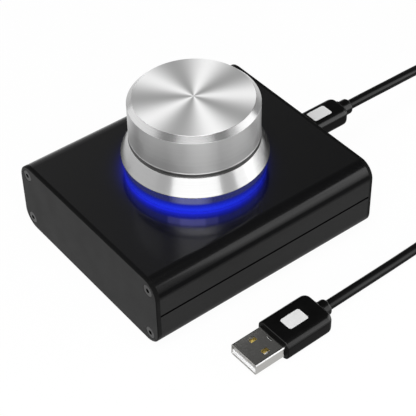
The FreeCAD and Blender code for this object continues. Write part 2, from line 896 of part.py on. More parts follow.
def usb_shell():
    """Sheet tube with two windows in its upper and lower faces."""
    sheet = usb_bar(-usb_shell_reach, grip_embed, 0)
    hollow = usb_bar(-usb_shell_reach, grip_embed - plug_shell_sheet, plug_shell_sheet)
    middle = usb_window_place - usb_shell_reach
    windows = []
    for side in (1, -1):
        corner = V(middle - usb_window_length / 2, side * usb_window_offset - usb_window_width / 2, 0)
        windows.append(block(corner, corner + V(usb_window_length, usb_window_width, usb_grip_thickness)))
    return on_table(cut(sheet, [hollow] + windows))


def usb_insulator():
    """Plastic block in the lower half of the shell, closed behind the grip's face."""
    inside = usb_bar(usb_insulator_setback - usb_shell_reach, grip_embed - plug_shell_sheet,
                     plug_shell_sheet)
    gap = block(V(-usb_shell_reach, -usb_shell_width, usb_insulator_top),
                V(-usb_insulator_setback, usb_shell_width, usb_grip_thickness))
    return on_table(inside.cut(gap))


def usb_contacts():
    """Four gold strips on the insulator."""
    strips = []
    for offset in usb_contact_offsets:
        corner = V(usb_contact_setback - usb_shell_reach, offset - usb_contact_width / 2,
                   usb_insulator_top)
        strips.append(block(corner, corner + V(usb_contact_length, usb_contact_width, usb_contact_sheet)))
    return on_table(group(strips))


def usb_label():
    """Bare patch on the loose plug's grip."""
    return on_table(label(usb_label_place, usb_grip_thickness))


def usb_grip():
    """Grip of the loose plug."""
    body = on_table(grip(usb_grip_length, usb_grip_width, usb_grip_thickness, usb_neck_length))
    return cut(body, [on_table(usb_bar(0, grip_embed, 0)), usb_label()])


# ---------------------------------------------------------------- cable
def coil_ring(margin, base, height):
    """Ring round the coiled turns, grown outwards by a margin."""
    outer = coil_outer_radius + margin
    inner = coil_inner_radius - margin
    profile = [(inner, base), (outer, base), (outer, base + height), (inner, base + height)]
    ring = turned(profile)
    rims = [edge for edge in ring.Edges if edge.Closed and isinstance(edge.Curve, Part.Circle)]
    ring = ring.makeFillet(cable_radius, rims)
    ring.translate(coil_centre)
    return ring


def cable_coil():
    return coil_ring(0, coil_base, coil_height)


def cable_tie():
    """Strap round the coil's section at its +X side."""
    band = coil_ring(tie_thickness, 0, coil_height + 2 * tie_thickness)
    slice_box = block(coil_centre + V(0, -tie_width / 2, 0),
                      coil_centre + V(2 * coil_outer_radius, tie_width / 2, 2 * coil_height))
    return band.common(slice_box).cut(cable_coil())


# ---------------------------------------------------------------- writing
def main():
    os.makedirs("parts", exist_ok=True)
    parts = {
        "top_shell": top_shell(),
        "bottom_shell": bottom_shell(),
        "left_end_plate": end_plate(-1),
        "right_end_plate": end_plate(1),
        "left_plate_screws": plate_screws(-1),
        "right_plate_screws": plate_screws(1),
        "rubber_feet": feet(),
        "main_board": main_board(),
        "controller_chip": chip(),
        "small_components": small_parts(),
        "led_connector": led_connector(),
        "led_wires": led_wires(),
        "socket_shell": socket_shell(),
        "socket_tongue": socket_tongue(),
        "encoder_housing": encoder_housing(),
        "encoder_frame": encoder_frame(),
        "encoder_bushing": bushing(),
        "bushing_spacer": bushing_spacer(),
        "encoder_shaft": shaft(),
        "encoder_rotor": rotor(),
        "detent_spring": detent_spring(),
        "switch_plunger": plunger(),
        "switch_dome": dome(),
        "encoder_terminals": terminals(),
        "bushing_washer": washer(),
        "bushing_nut": nut(),
        "led_board_pad": led_pad(),
        "led_board": led_board(),
        "ring_leds": leds(),
        "light_ring": light_ring(),
        "knob_skirt": skirt(),
        "skirt_screws": skirt_screws(),
        "knob_cap": knob_cap(),
        "knob_insert": knob_insert(),
        "insert_clip_ring": clip_ring(),
        "box_plug_grip": box_plug_grip(),
        "box_plug_shell": box_plug_shell(),
        "box_plug_label": box_plug_label(),
        "usb_plug_grip": usb_grip(),
        "usb_plug_shell": usb_shell(),
        "usb_plug_insulator": usb_insulator(),
        "usb_plug_contacts": usb_contacts(),
        "usb_plug_label": usb_label(),
        "cable_box_side": routed_tube(box_side_route, cable_radius, "cable_box_side"),
        "cable_usb_side": routed_tube(usb_side_route, cable_radius, "cable_usb_side"),
        "cable_coil": cable_coil(),
        "cable_tie": cable_tie(),
    }
    for name, shape in parts.items():
        solids = len(shape.Solids)
        print("%-20s solids %2d volume %9.2f valid %s" % (name, solids, shape.Volume, shape.isValid()))
        save(name, shape)


main()
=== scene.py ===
import bmesh
import bpy
import math
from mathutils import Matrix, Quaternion, Vector


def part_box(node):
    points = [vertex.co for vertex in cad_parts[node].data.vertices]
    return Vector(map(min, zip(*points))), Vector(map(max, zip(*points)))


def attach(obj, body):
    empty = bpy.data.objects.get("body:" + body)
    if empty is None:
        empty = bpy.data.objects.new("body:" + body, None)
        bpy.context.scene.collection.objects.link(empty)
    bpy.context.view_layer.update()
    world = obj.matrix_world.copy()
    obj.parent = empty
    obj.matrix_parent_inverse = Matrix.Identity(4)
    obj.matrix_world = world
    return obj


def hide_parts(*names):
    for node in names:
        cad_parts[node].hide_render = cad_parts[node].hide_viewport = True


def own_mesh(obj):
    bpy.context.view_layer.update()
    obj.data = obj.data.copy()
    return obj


# USB volume control knob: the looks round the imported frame. Metres, in the frame's axes:
# +X runs to the cable socket, +Z is up, and the knob turns about the Z axis through the origin.

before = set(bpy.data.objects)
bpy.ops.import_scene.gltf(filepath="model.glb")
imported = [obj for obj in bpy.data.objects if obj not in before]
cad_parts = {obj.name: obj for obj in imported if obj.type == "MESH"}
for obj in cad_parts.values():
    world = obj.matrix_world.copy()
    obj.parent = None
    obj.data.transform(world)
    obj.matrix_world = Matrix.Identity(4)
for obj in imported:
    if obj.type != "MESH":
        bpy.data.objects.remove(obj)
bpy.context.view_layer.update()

MM = 0.001

# ---------------------------------------------------------------- places from the frame
cap_low, cap_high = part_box("knob_cap")
_, skirt_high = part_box("knob_skirt")
ring_low, ring_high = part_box("light_ring")
_, insert_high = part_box("knob_insert")
dome_low, dome_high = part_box("switch_dome")
box_grip_low, box_grip_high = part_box("box_plug_grip")
_, usb_grip_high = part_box("usb_plug_grip")
_, usb_shell_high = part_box("usb_plug_shell")
coil_low, coil_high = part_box("cable_coil")

deck = ring_low.z
cap_radius = cap_high.x
skirt_radius = skirt_high.x
ring_radius = ring_high.x
insert_radius = insert_high.x
socket_height = (box_grip_low.z + box_grip_high.z) / 2
usb_axis_height = usb_grip_high.z / 2

# ---------------------------------------------------------------- camera
camera_place = Vector((-0.204770, -0.277081, 0.327114))
camera_target = Vector((-0.010443, -0.020166, 0.0286))
camera_roll = -1.285            # degrees
camera_lens = 116.8706
camera_sensor = 36.0

# ---------------------------------------------------------------- knob and skirt
edge_round = 0.18 * MM
cap_chamfer = 1.8 * MM
cap_top_thickness = 3.0 * MM
cap_side_thickness = 2.4 * MM
cap_foot_lip = 0.1 * MM         # its side stands back this far above the lip at its foot
cap_foot_height = 0.5 * MM
cap_lip_round = 0.05 * MM
cap_foot_round = 0.1 * MM
cap_boss_wall = 2.6 * MM
cap_boss_length = 8.8 * MM
skirt_top_step = 0.1 * MM       # skirt's top outside the cap
skirt_land = 2.0 * MM
skirt_edge_height = 0.3 * MM
skirt_edge_round = 0.08 * MM
skirt_web_thickness = 2.0 * MM
skirt_web_gap = 3.6 * MM        # between the web and the knob's insert
skirt_post_radius = 3.0 * MM
skirt_post_circle = 15.0 * MM
skirt_post_count = 3
skirt_post_bore = 1.27 * MM
skirt_post_segments = 32
flat_top_depth = 0.1 * edge_round           # polygons this near the top belong to its flat face
bevel_upwards = 0.4             # and the bevel's look upwards by more than this share
turned_segments = 192
round_steps = 4

# ---------------------------------------------------------------- switch dome
dome_sheet = 0.15 * MM
dome_steps = 10
dome_segments = 64

# ---------------------------------------------------------------- plugs
grip_side_round = 2.4 * MM      # long edges and rear corners
grip_rear_round = 1.3 * MM      # rear edges at top and bottom
grip_front_round = 0.35 * MM
grip_neck_radius = 2.9 * MM
grip_neck_fillet = 0.5 * MM
grip_neck_round = 1.1 * MM
grip_steps = 6                  # of each rounding
box_neck_length = 4.2 * MM
usb_neck_length = 3.6 * MM
box_grip_front = box_grip_low.x
usb_grip_length = 19.8 * MM
usb_grip_width = 14.6 * MM
usb_plug_place = Vector((-0.0165, -0.0609, 0.0))    # grip's front edge on the table
usb_plug_turn = 1.2             # degrees about +Z
usb_tab_length = 0.5 * MM       # small pressed tab on the shell
usb_tab_width = 2.3 * MM
usb_tab_height = 0.05 * MM
usb_tab_ahead = 1.6 * MM        # of the grip
usb_tab_edge = 0.01 * MM        # half the height of its thin ends
usb_tab_steps = 8               # along it
usb_tab_corner_steps = 4
usb_tab_corner = 0.9            # corner radius, as a share of half its height

# ---------------------------------------------------------------- cable
cable_diameter = 3.6 * MM
cable_radius = cable_diameter / 2
cable_in_neck = 1.0 * MM        # how far each end starts inside its plug's neck
cable_exit = Vector((box_grip_high.x, 0.0, socket_height))
straight_exit = 8.5 * MM        # beyond each plug's neck
coil_columns = 3
coil_turns = 11.5
coil_points_per_turn = 24
coil_centre = (coil_low + coil_high) / 2
coil_outer_turn = (coil_high.x - coil_low.x) / 2 - cable_radius
coil_inner_turn = coil_outer_turn - (coil_columns - 1) * cable_diameter
coil_bottom_turn = coil_low.z + cable_radius
coil_crossing = (0.65, 0.85)    # share of each turn in which it moves to its next place
coil_bulge = 0.4 * cable_diameter           # sideways, where a turn climbs to the next layer
cable_round_steps = 6
cable_span_steps = 8


def on_usb_plug(ahead, height):
    """A point on the loose plug's axis, so far towards the cable from its grip's front edge."""
    turn = math.radians(usb_plug_turn)
    return usb_plug_place + Vector((ahead * math.cos(turn), ahead * math.sin(turn), height))


usb_neck_end = usb_grip_length + usb_neck_length
box_side_route = [
    cable_exit - Vector((cable_in_neck, 0.0, 0.0)),
    cable_exit + Vector((straight_exit, 0.0, 0.0)),
    Vector((0.0920, 0.0007, 0.0172)),
    Vector((0.1050, 0.0021, 0.0156)),
    Vector((0.1200, 0.0043, 0.0126)),
    Vector((0.1340, 0.0125, 0.0050)),
    Vector((0.1470, 0.0295, cable_radius + 0.40 * MM)),
]
usb_side_route = [
    Vector((0.1470, -0.0137, 0.0120)),
    Vector((0.1330, -0.0265, 0.0050)),
    Vector((0.1180, -0.0376, cable_radius + 0.20 * MM)),
    Vector((0.0980, -0.0433, cable_radius)),
    Vector((0.0780, -0.0524, cable_radius)),
    Vector((0.0580, -0.0576, cable_radius)),
    Vector((0.0420, -0.05825, cable_radius + 0.05 * MM)),
    Vector((0.0280, -0.0591, cable_radius + 0.80 * MM)),
    on_usb_plug(usb_neck_end + straight_exit, usb_axis_height),
    on_usb_plug(usb_neck_end - cable_in_neck, usb_axis_height),
]

# ---------------------------------------------------------------- studio
floor_size = 14.0
floor_white = 0.9
floor_shown_white = 0.96        # share of the floor that a camera or a reflection sees as plain white
studio_middle = 0.04            # height from which the softboxes' elevations are counted


# ---------------------------------------------------------------- making objects
on_axis = 1e-9                  # a point nearer to the axis than this lies on it
same_point = 1e-7               # vertices nearer to each other than this are one
large_face_weight = 90          # how far large faces keep their own direction


def add_object(name, data):
    """A new object in the scene."""
    made = bpy.data.objects.new(name, data)
    bpy.context.scene.collection.objects.link(made)
    return made


def finished_mesh(name, bm, materials):
    """Turn a bmesh into a smooth-shaded object whose large faces keep their own direction."""
    bmesh.ops.recalc_face_normals(bm, faces=bm.faces)
    mesh = bpy.data.meshes.new(name)
    bm.to_mesh(mesh)
    bm.free()
    mesh.shade_smooth()
    for material in materials:
        mesh.materials.append(material)
    made = add_object(name, mesh)
    weighted = made.modifiers.new("weighted_normals", "WEIGHTED_NORMAL")
    weighted.mode = "FACE_AREA"
    weighted.weight = large_face_weight
    return made


def rounded_corners(profile):
    """(radius, height, rounding) corners of a closed outline as points, with an arc for each rounding."""
    points = []
    count = len(profile)
    for index, (radius, height, rounding) in enumerate(profile):
        corner = Vector((radius, height))
        if rounding == 0:
            points.append(corner)
            continue
        back = (Vector(profile[index - 1][:2]) - corner).normalized()
        ahead = (Vector(profile[(index + 1) % count][:2]) - corner).normalized()
        half = back.angle(ahead) / 2
        inward = (back + ahead).normalized()
        centre = corner + inward * (rounding / math.sin(half))
        start = corner + back * (rounding / math.tan(half)) - centre
        end = corner + ahead * (rounding / math.tan(half)) - centre
        for step in range(round_steps + 1):
            share = step / round_steps
            points.append(centre + start.slerp(end, share) * rounding)
    return points


def add_turned(bm, profile, centre=(0.0, 0.0), segments=turned_segments):
    """Turn a closed outline about a vertical axis. Points on the axis become one vertex."""
    rings = []
    for point in rounded_corners(profile):
        if point.x < on_axis:
            rings.append([bm.verts.new((centre[0], centre[1], point.y))])
            continue
        ring = []
        for index in range(segments):
            angle = 2 * math.pi * index / segments
            ring.append(bm.verts.new((centre[0] + point.x * math.cos(angle),
                                      centre[1] + point.x * math.sin(angle), point.y)))
        rings.append(ring)
    for lower, upper in zip(rings, rings[1:] + rings[:1]):
        if len(lower) == 1 and len(upper) == 1:
            continue
        for index in range(segments):
            following = (index + 1) % segments
            corners = [lower[index % len(lower)], lower[following % len(lower)],
                       upper[following % len(upper)], upper[index % len(upper)]]
            bm.faces.new(list(dict.fromkeys(corners)))


def section(bm, place, width, height, corner, steps=8):
    """Ring of vertices: a rounded rectangle across X, or a circle where the corners meet."""
    ring = []
    quarter = math.pi / 2
    for number, (side_y, side_z) in enumerate(((1, 1), (-1, 1), (-1, -1), (1, -1))):
        for step in range(steps + 1):
            angle = number * quarter + quarter * step / steps
            y = side_y * (width / 2 - corner) + corner * math.cos(angle)
            z = side_z * (height / 2 - corner) + corner * math.sin(angle)
            ring.append(bm.verts.new((place, y, z)))
    return ring


def lofted(bm, rings):
    """Join rings of as many vertices with faces, and close both ends."""
    count = len(rings[0])
    for near, far in zip(rings, rings[1:]):
        for index in range(count):
            following = (index + 1) % count
            bm.faces.new((near[index], near[following], far[following], far[index]))
    bm.faces.new(rings[0])
    bm.faces.new(list(reversed(rings[-1])))
    bmesh.ops.remove_doubles(bm, verts=bm.verts, dist=same_point)


# ---------------------------------------------------------------- node helpers
evenly = (1.0, 1.0, 1.0)        # stretch of a grain along the axes
along_x = (60.0, 1.0, 1.0)
along_z = (1.0, 1.0, 60.0)
noise_span = (0.3, 0.7)         # range that Blender's noise mostly keeps to
mix_colours = (6, 7)            # a Mix node's colour inputs and output, whose names other data types share
mix_result = 2


def fill(tree, socket, value):
    """Give a socket a link or a constant."""
    if isinstance(value, bpy.types.NodeSocket):
        tree.links.new(value, socket)
    else:
        socket.default_value = value


def node(tree, kind, inputs, **settings):
    """New shader node with its settings and its inputs, by name or number."""
    made = tree.nodes.new("ShaderNode" + kind)
    for name, value in settings.items():
        setattr(made, name, value)
    for name, value in inputs.items():
        fill(tree, made.inputs[name], value)
    return made


def maths(tree, operation, *values):
    """Result of a math node."""
    return node(tree, "Math", dict(enumerate(values)), operation=operation).outputs[0]


def product(tree, first, *others):
    """Values multiplied together."""
    result = first
    for other in others:
        result = maths(tree, "MULTIPLY", result, other)
    return result


def remap(tree, value, from_low, from_high, to_low, to_high):
    """A value carried from one range to another, clamped."""
    inputs = {
        "Value": value,
        "From Min": from_low, "From Max": from_high,
        "To Min": to_low, "To Max": to_high,
    }
    return node(tree, "MapRange", inputs).outputs["Result"]


def rising(tree, value, start, end):
    """0 up to the start, 1 from the end on, even between them."""
    return remap(tree, value, start, end, 0.0, 1.0)


def falling(tree, value, start, end):
    """1 up to the start, 0 from the end on, even between them."""
    return remap(tree, value, start, end, 1.0, 0.0)


def between(tree, share, low, high):
    """A value between two, by a share from 0 to 1."""
    return remap(tree, share, 0.0, 1.0, low, high)


def varied(tree, pattern, middle, share):
    """A value that a pattern varies by a share of it either way."""
    return between(tree, pattern, middle * (1 - share), middle * (1 + share))


def shade(colour, factor=1.0):
    """A grey or a colour as red, green, blue, alpha."""
    if isinstance(colour, (int, float)):
        colour = (colour, colour, colour)
    return (*(channel * factor for channel in colour), 1.0)


def mixed(tree, share, first, second):
    """Colour between two colours."""
    made = node(tree, "Mix", {"Factor": share}, data_type="RGBA")
    for number, colour in zip(mix_colours, (first, second)):
        fill(tree, made.inputs[number], colour)
    return made.outputs[mix_result]


def toned(tree, pattern, tones):
    """Colour that a pattern varies between two tones, each a grey or a colour."""
    return mixed(tree, pattern, shade(tones[0]), shade(tones[1]))


def tinted(tree, pattern, colour, share):
    """Colour that a pattern darkens and lightens by a share."""
    return mixed(tree, pattern, shade(colour, 1 - share), shade(colour, 1 + share))


def own_place(tree):
    """The object's own coordinates."""
    return node(tree, "TexCoord", {}).outputs["Object"]


def coordinates(tree, kind="Object"):
    """X, Y and Z of one kind of texture coordinate: Object is the place, Normal the way a face looks."""
    return node(tree, "SeparateXYZ", {0: node(tree, "TexCoord", {}).outputs[kind]}).outputs


def axis_distance(tree, place):
    """Distance from the knob's axis."""
    x, y = place["X"], place["Y"]
    return maths(tree, "SQRT", maths(tree, "ADD", product(tree, x, x), product(tree, y, y)))


def axis_angle(tree, place, direction):
    """Angle round the knob's axis from a direction."""
    return maths(tree, "SUBTRACT", maths(tree, "ARCTAN2", place["Y"], place["X"]), direction)


def axis_nearness(tree, place, direction):
    """Cosine of the angle round the knob's axis from a direction."""
    return maths(tree, "COSINE", axis_angle(tree, place, direction))


def noise(tree, grain, stretch=evenly, detail=3.0, place=None):
    """Noise from about 0 to 1, its lumps about a grain wide, stretched along the axes."""
    scale = tuple(1.0 / (grain * factor) for factor in stretch)
    where = node(tree, "Mapping", {"Vector": place or own_place(tree), "Scale": scale}).outputs[0]
    made = node(tree, "TexNoise", {"Vector": where, "Scale": 1.0, "Detail": detail})
    return rising(tree, made.outputs["Fac"], *noise_span)


def bumped(tree, height, depth):
    """Normal for a relief whose full height is depth."""
    return node(tree, "Bump", {"Height": height, "Distance": depth, "Strength": 1.0}).outputs[0]


def new_material(name):
    """An empty node material and its tree."""
    made = bpy.data.materials.new(name)
    made.use_nodes = True
    made.node_tree.nodes.clear()
    return made, made.node_tree


def surface(tree, inputs):
    """Principled shader on the material's output."""
    shader = node(tree, "BsdfPrincipled", inputs)
    node(tree, "OutputMaterial", {"Surface": shader.outputs[0]})


# ---------------------------------------------------------------- plastic and rubber
skin_index = 1.1                # refraction of a black skin, which mirrors little by itself
polish_index = 1.5              # and of the clear polish over it
mottle_size = 4 * MM            # lumps of uneven colour and gloss
mottle_share = 0.15
matt_grain = 0.2 * MM           # skin of the black mouldings
matt_relief = 0.002 * MM
matt_roughness = (0.38, 0.48)
grip_edge_band = (0.15, 0.45, 0.80, 0.97)       # upward shares, as on_edges takes them
cable_edge_band = (0.25, 0.50, 0.75, 0.92)


def moulded(name, colour, roughness, grain=0.25 * MM, relief=0.006 * MM, variation=mottle_share):
    """Plastic or rubber: mottled colour, uneven gloss and a fine moulded grain."""
    made, tree = new_material(name)
    mottle = noise(tree, mottle_size)
    surface(tree, {
        "Base Color": tinted(tree, mottle, colour, variation),
        "Roughness": varied(tree, mottle, roughness, mottle_share),
        "Normal": bumped(tree, noise(tree, grain), relief),
    })
    return made


def on_edges(tree, band, full=1.0):
    """Full where a face looks upwards by a share inside the band, as on an edge that curves over."""
    side, edge_start, edge_end, top = band
    upwards = coordinates(tree, "Normal")["Z"]
    off_side = remap(tree, upwards, side, edge_start, 0.0, full)
    return product(tree, off_side, falling(tree, upwards, edge_end, top))


def edge_polished(name, colour, roughness, polish, band):
    """Black moulding with a matt skin, polished where it curves over."""
    made, tree = new_material(name)
    mottle = noise(tree, mottle_size)
    surface(tree, {
        "Base Color": tinted(tree, mottle, colour, mottle_share),
        "Roughness": between(tree, mottle, *matt_roughness),
        "IOR": skin_index,
        "Coat Weight": on_edges(tree, band, polish),
        "Coat Roughness": roughness,
        "Coat IOR": polish_index,
        "Normal": bumped(tree, noise(tree, matt_grain), matt_relief),
    })
    return made


# ---------------------------------------------------------------- metal
metal_grain = 0.08 * MM
metal_relief = 0.002 * MM
metal_variation = 0.12
handling_size = 3 * MM          # clouds that handling leaves in the gloss
handling_share = 0.2
plug_sheet = (0.41, 0.405, 0.39)
plug_sheet_variation = 0.05
plug_edge_highlight = 0.95                # its bent edges, painted bright as a highlight
plug_highlight_band = (0.10, 0.30, 0.90, 0.99)
plug_roughness = (0.14, 0.20)
plug_relief = 0.0006 * MM


def metal(name, colour, roughness, stretch, metallic=1.0):
    """Metal with a grain drawn out along the axes by stretch, and handling marks in its gloss."""
    made, tree = new_material(name)
    brushed = noise(tree, metal_grain, stretch)
    surface(tree, {
        "Base Color": tinted(tree, brushed, colour, metal_variation),
        "Metallic": metallic,
        "Roughness": varied(tree, noise(tree, handling_size), roughness, handling_share),
        "Normal": bumped(tree, brushed, metal_relief),
    })
    return made


def plug_steel(name):
    """Nickel-plated sheet with a faint grain along the plug, with a highlight painted bright along its
    bent edges.
    """
    made, tree = new_material(name)
    brushed = noise(tree, metal_grain, along_x)
    sheet = tinted(tree, brushed, plug_sheet, plug_sheet_variation)
    surface(tree, {
        # painted highlight along the bent edges
        "Base Color": mixed(tree, on_edges(tree, plug_highlight_band), sheet, shade(plug_edge_highlight)),
        "Metallic": 1.0,
        "Roughness": between(tree, noise(tree, handling_size), *plug_roughness),
        "Normal": bumped(tree, brushed, plug_relief),
    })
    return made


# ---------------------------------------------------------------- the anodised box
anodised_grain = 0.12 * MM
anodised_relief = 0.003 * MM
anodised_clouds = 9 * MM        # patches of uneven gloss
anodised_roughness = (0.34, 0.42)
painted_sheen_tones = (0.0165, 0.0190)  # of the grain on its flat sides, painted paler than the deck as a painted sheen
painted_seam_shade_tones = (0.005, 0.006)      # on the end plates' cut edges, painted dark as the shade line round each plate
deck_tones = ((0.0022, 0.0022, 0.0024), (0.0030, 0.0030, 0.0032))
deck_turn = (0.04, 0.20)        # upward shares between which the sides' painted sheen gives way to the deck's black
polish_turn = (0.38, 0.62)      # upward shares between which the clear polish sets in
polish_weight = 0.7
polish_roughness = 0.14
plate_turn = (0.75, 0.95)       # sideways shares between which the painted shade on a cut edge gives way to the plate's face
# painted pool of the light ring's blue light on the deck round it, drawn as emission in the deck's colour
painted_spill_blue = (0.01, 0.02, 1.0)
spill_reach = 1.3 * MM          # over which the painted pool of the ring's light on the deck fades to about a third
spill_margin = 0.02 * MM        # over which it sets in, outside the ring and below the deck
spill_brightest = math.radians(192)
spill_turn = (-0.3, 0.9)        # cosines from there between which it goes from dim to bright
spill_levels = (0.05, 0.34)     # beside the ring, on its dim and on its bright side


def painted_ring_spill(tree):
    """Strength of the pool of blue light painted on the deck round the ring."""
    place = coordinates(tree)
    inward = maths(tree, "SUBTRACT", ring_radius, axis_distance(tree, place))
    on_deck = rising(tree, place["Z"], deck - spill_margin, deck - spill_margin / 2)
    outside = falling(tree, inward, -spill_margin, 0.0)
    level = remap(tree, axis_nearness(tree, place, spill_brightest), *spill_turn, *spill_levels)
    fading = maths(tree, "EXPONENT", maths(tree, "DIVIDE", inward, spill_reach))
    return product(tree, level, product(tree, on_deck, outside), fading)


def anodised_face(tree, grain, colour):
    """What every black anodised face has: a blasted grain and a satin gloss that is slightly uneven."""
    return {
        "Base Color": colour,
        "Roughness": between(tree, noise(tree, anodised_clouds), *anodised_roughness),
        "IOR": skin_index,
        "Normal": bumped(tree, grain, anodised_relief),
    }


def anodised(name):
    """Black anodised aluminium, deep black and polished on top; its sides are painted paler as a painted
    sheen, and the ring's blue light is painted on the deck round it.
    """
    made, tree = new_material(name)
    grain = noise(tree, anodised_grain)
    upwards = coordinates(tree, "Normal")["Z"]
    # the sides painted paler than the deck: painted sheen
    side = toned(tree, grain, painted_sheen_tones)
    top = toned(tree, grain, deck_tones)
    black = mixed(tree, rising(tree, upwards, *deck_turn), side, top)
    surface(tree, anodised_face(tree, grain, black) | {
        "Coat Weight": remap(tree, upwards, *polish_turn, 0.0, polish_weight),
        "Coat Roughness": polish_roughness,
        "Coat IOR": polish_index,
        # painted pool of the ring's blue light on the deck
        "Emission Color": toned(tree, painted_ring_spill(tree), (0.0, painted_spill_blue)),
        "Emission Strength": 1.0,
    })
    return made


def anodised_plate(name):
    """Black anodised end plate: its flat face painted paler as a painted sheen, its cut edge painted
    darker as painted shade round the plate.
    """
    made, tree = new_material(name)
    grain = noise(tree, anodised_grain)
    sideways = maths(tree, "ABSOLUTE", coordinates(tree, "Normal")["X"])
    # the cut edge painted darker: painted shade at the seam round the plate
    edge = toned(tree, grain, painted_seam_shade_tones)
    face = toned(tree, grain, painted_sheen_tones)
    black = mixed(tree, rising(tree, sideways, *plate_turn), edge, face)
    surface(tree, anodised_face(tree, grain, black))
    return made


# ---------------------------------------------------------------- turned aluminium
gloss_turn = 0.25               # draws the gloss out across the turning marks
groove_detail = 2.0
# painted highlights on the knob's face: bright and dark spokes painted into its colour
face_peaks = 5
face_first_peak = math.radians(37)
face_levels = (0.643, 0.985)    # valleys and peaks of the painted highlights, as shown brightness from 0 to 1
face_power = 2.2                # from shown brightness to reflected light
face_gain = 1.02
face_groove = 0.10 * MM
face_groove_levels = (0.96, 1.0)
face_relief = 0.0008 * MM
face_metallic = 0.3
face_roughness = (0.40, 0.50)
face_anisotropy = 0.5
side_groove = 0.12 * MM
side_relief = 0.0006 * MM
side_variation = 0.06
side_clouds = 5 * MM            # patches of uneven gloss
side_gloss_share = 0.08


def ring_tone(tree, groove):
    """Turning marks: noise that depends only on the distance from the axis and on the height."""
    place = coordinates(tree)
    along = node(tree, "CombineXYZ", {"X": axis_distance(tree, place), "Z": place["Z"]}).outputs[0]
    return noise(tree, groove, place=along, detail=groove_detail)


def turning_marks(tree, grooves, relief, anisotropy):
    """What every turned face has: fine grooves round the axis and a gloss drawn out across them."""
    return {
        "Anisotropic": anisotropy,
        "Anisotropic Rotation": gloss_turn,
        "Tangent": node(tree, "Tangent", {}, direction_type="RADIAL", axis="Z").outputs[0],
        "Normal": bumped(tree, grooves, relief),
    }


def face_painted_highlights(name):
    """Top of the knob: spun with fine turning grooves, with highlights painted into its colour as bright
    and dark spokes that swing five times as it goes round.
    """
    made, tree = new_material(name)
    # painted highlights: five bright spokes round the face, in its base colour
    swing = product(tree, axis_angle(tree, coordinates(tree), face_first_peak), face_peaks)
    shown = remap(tree, maths(tree, "COSINE", swing), -1.0, 1.0, *face_levels)
    reflected = maths(tree, "POWER", shown, face_power)
    grooves = ring_tone(tree, face_groove)
    grey = product(tree, reflected, face_gain, between(tree, grooves, *face_groove_levels))
    surface(tree, {
        "Base Color": node(tree, "CombineColor", {"Red": grey, "Green": grey, "Blue": grey}).outputs[0],
        "Metallic": face_metallic,
        "Roughness": between(tree, grooves, *face_roughness),
    } | turning_marks(tree, grooves, face_relief, face_anisotropy))
    return made


def turned(name, colour, roughness, anisotropy):
    """Turned aluminium with fine marks round the axis."""
    made, tree = new_material(name)
    grooves = ring_tone(tree, side_groove)
    surface(tree, {
        "Base Color": tinted(tree, grooves, colour, side_variation),
        "Metallic": 1.0,
        "Roughness": varied(tree, noise(tree, side_clouds), roughness, side_gloss_share),
    } | turning_marks(tree, grooves, side_relief, anisotropy))
    return made


# ---------------------------------------------------------------- light ring, LEDs and boards
ring_skin = (0.6 * MM, 0.3 * MM)            # depths below the ring's side between which its light sets in
ring_bright_height = 3.2 * MM   # lower part of the light ring that shines
ring_bright_fade = 0.5 * MM     # either side of that height
ring_glow = ((0.0, 0.66), (0.8 * MM, 0.80), (2.9 * MM, 0.34))     # height above the deck, brightness
ring_hue = (0.012, 0.034)       # red and green, as shares of its blue
ring_bright_side = math.radians(229)        # where its painted glow and its lamps are strongest
ring_far_share = 0.12           # of that light left on the opposite side: on the ring a painted shade, on its lamps real light
ring_highlight_spot = (0.955, 0.992)      # cosines from the bright side over which its painted highlight spot fades in
ring_upper_glows = ((0.012, 0.016, 0.11), (0.10, 0.11, 0.28))     # of its dim part and its painted highlight spot
ring_bodies = ((0.004, 0.004, 0.02), (0.015, 0.015, 0.03))        # own colour of its lower and upper part
ring_grain = 0.6 * MM
ring_grain_levels = (0.96, 1.04)
ring_roughness = (0.22, 0.30)
ring_specular = 0.3
led_grain = 0.4 * MM
led_bodies = ((0.5, 0.5, 0.55), (0.6, 0.6, 0.65))
led_glows = ((0.02, 0.04, 0.9), (0.05, 0.08, 1.0))
led_roughness = (0.3, 0.45)
led_strength = 0.4
board_tracks = 260.0            # scale of the tracks, whose cells are about 2 by 1 mm
board_gap = 0.03
board_other_shade = 0.8         # of every other cell
board_gap_shade = 1.7
board_relief = 0.02 * MM
board_mottle = 2 * MM
board_roughness = (0.3, 0.4)


